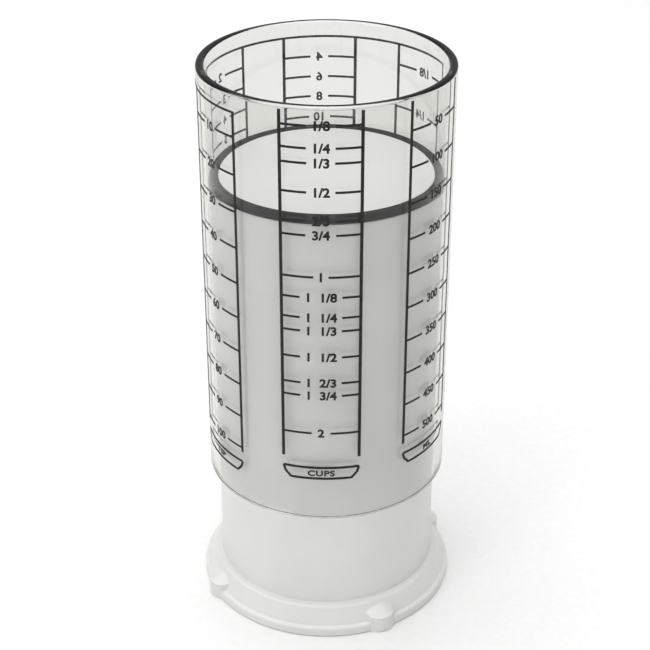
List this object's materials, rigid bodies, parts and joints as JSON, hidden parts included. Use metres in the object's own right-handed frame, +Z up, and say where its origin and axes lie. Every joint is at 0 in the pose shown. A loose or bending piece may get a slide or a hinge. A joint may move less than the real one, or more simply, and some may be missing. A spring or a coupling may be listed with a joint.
{
  "type": "adjustable measuring cup",
  "caption": "Measuring cup whose clear printed sleeve slides and turns on a sealed white plunger, so the plunger's face sets the volume.",
  "frame": {"origin": "centre of the plunger's flat base", "axes": "+Z up the cup's axis, -Y towards the front, where the cups scale is, +X to the right as seen from the front"},
  "size_m": [0.0856, 0.0856, 0.187],
  "materials": {
    "clear_plastic": "clear, polished",
    "white_plastic": "moulded, satin gloss",
    "black_rubber": "smooth",
    "black_ink": "screen-printed"
  },
  "bodies": {
    "plunger": {"plunger": "white_plastic"},
    "seal": {"seal_ring": "black_rubber"},
    "sleeve": {"sleeve": "clear_plastic", "header_line": "black_ink", "scale_millilitres": "black_ink", "scale_cups": "black_ink", "scale_teaspoons": "black_ink", "scale_fluid_ounces": "black_ink", "scale_tablespoons": "black_ink", "scale_pints": "black_ink"}
  },
  "joints": [
    {"name": "sleeve_turn", "type": "hinge", "parent": "plunger", "child": "seal", "pos_m": [0, 0, 0.1521], "axis": [0, 0, 1], "continuous": true},
    {"name": "sleeve_slide", "type": "slide", "parent": "seal", "child": "sleeve", "axis": [0, 0, 1], "range_m": [-0.036, 0.095]}
  ]
}
